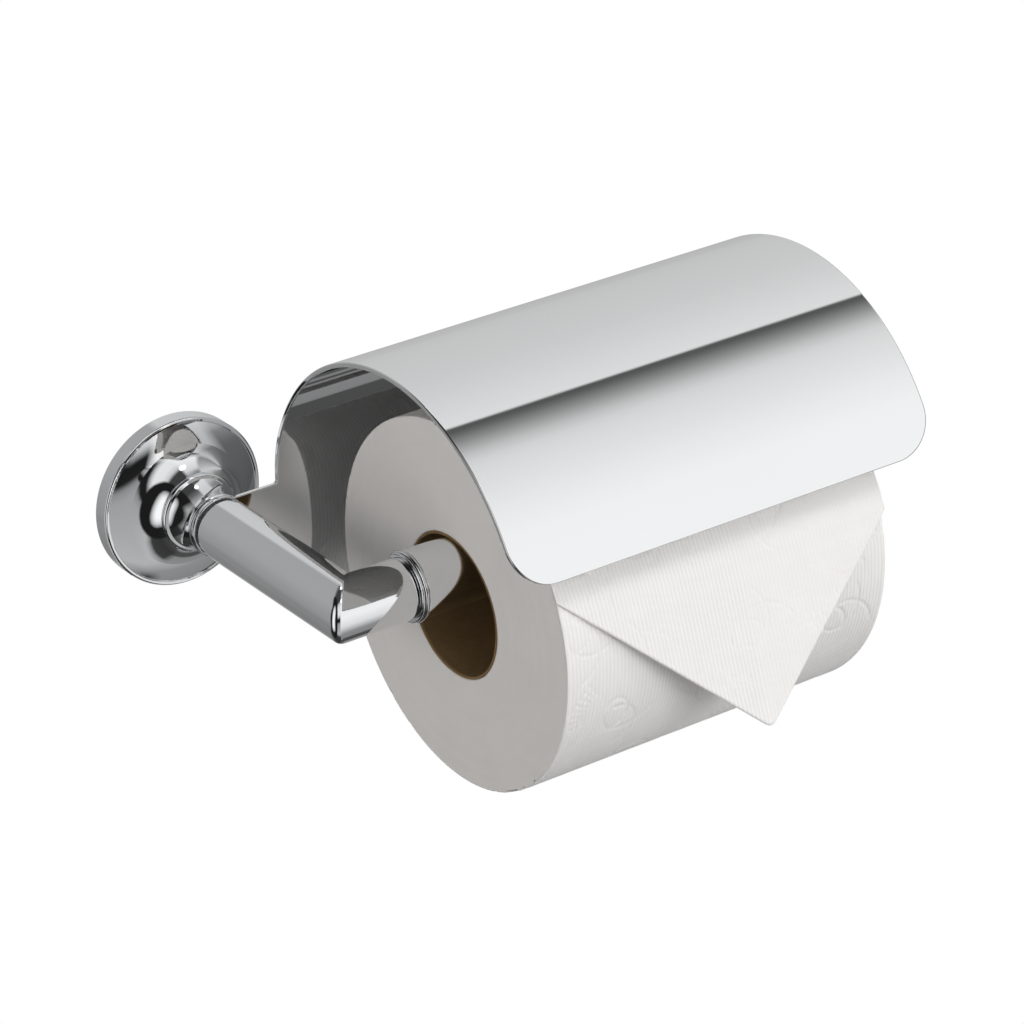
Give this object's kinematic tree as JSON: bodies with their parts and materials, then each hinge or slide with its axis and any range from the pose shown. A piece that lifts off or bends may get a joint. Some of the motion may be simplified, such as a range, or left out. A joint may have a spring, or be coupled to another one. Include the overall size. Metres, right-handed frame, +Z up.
{
  "type": "toilet paper holder",
  "caption": "Wall-mounted chrome toilet paper holder: round flange, L-shaped tube arm, curved cover hood and a paper roll that turns and slides off.",
  "frame": {"origin": "centre of the wall flange's back, on the wall plane", "axes": "+Y into the wall, -Y out along the post, +X along the arm and roll bar, +Z up"},
  "size_m": [0.1885, 0.1591, 0.129],
  "materials": {
    "chrome": "polished",
    "hood_chrome": "polished",
    "zinc_steel": "satin",
    "brass": "satin",
    "nylon": "matte",
    "cardboard": "matte",
    "tissue": "matte"
  },
  "bodies": {
    "holder": {"wall_bracket": "zinc_steel", "flange": "chrome", "flange_set_screw": "zinc_steel", "mounting_stud": "zinc_steel", "stud_nut": "zinc_steel", "lock_washer": "zinc_steel", "neck": "chrome", "hood": "hood_chrome", "hood_washer": "nylon", "post": "chrome", "post_insert": "brass", "arm": "chrome", "arm_insert": "brass", "arm_ring": "chrome", "bar_stud": "zinc_steel", "roll_bar": "chrome", "bar_insert": "brass", "end_cap": "chrome"},
    "tail_carriage": {"paper_tail": "tissue"},
    "roll": {"cardboard_core": "cardboard", "paper_roll": "tissue"}
  },
  "joints": [
    {"name": "roll_slide", "type": "slide", "parent": "holder", "child": "tail_carriage", "axis": [1, 0, 0], "range_m": [-0.01, 0.13]},
    {"name": "roll_spin", "type": "hinge", "parent": "tail_carriage", "child": "roll", "pos_m": [0.0907, -0.0904, -0.01065], "axis": [1, 0, 0], "continuous": true}
  ]
}
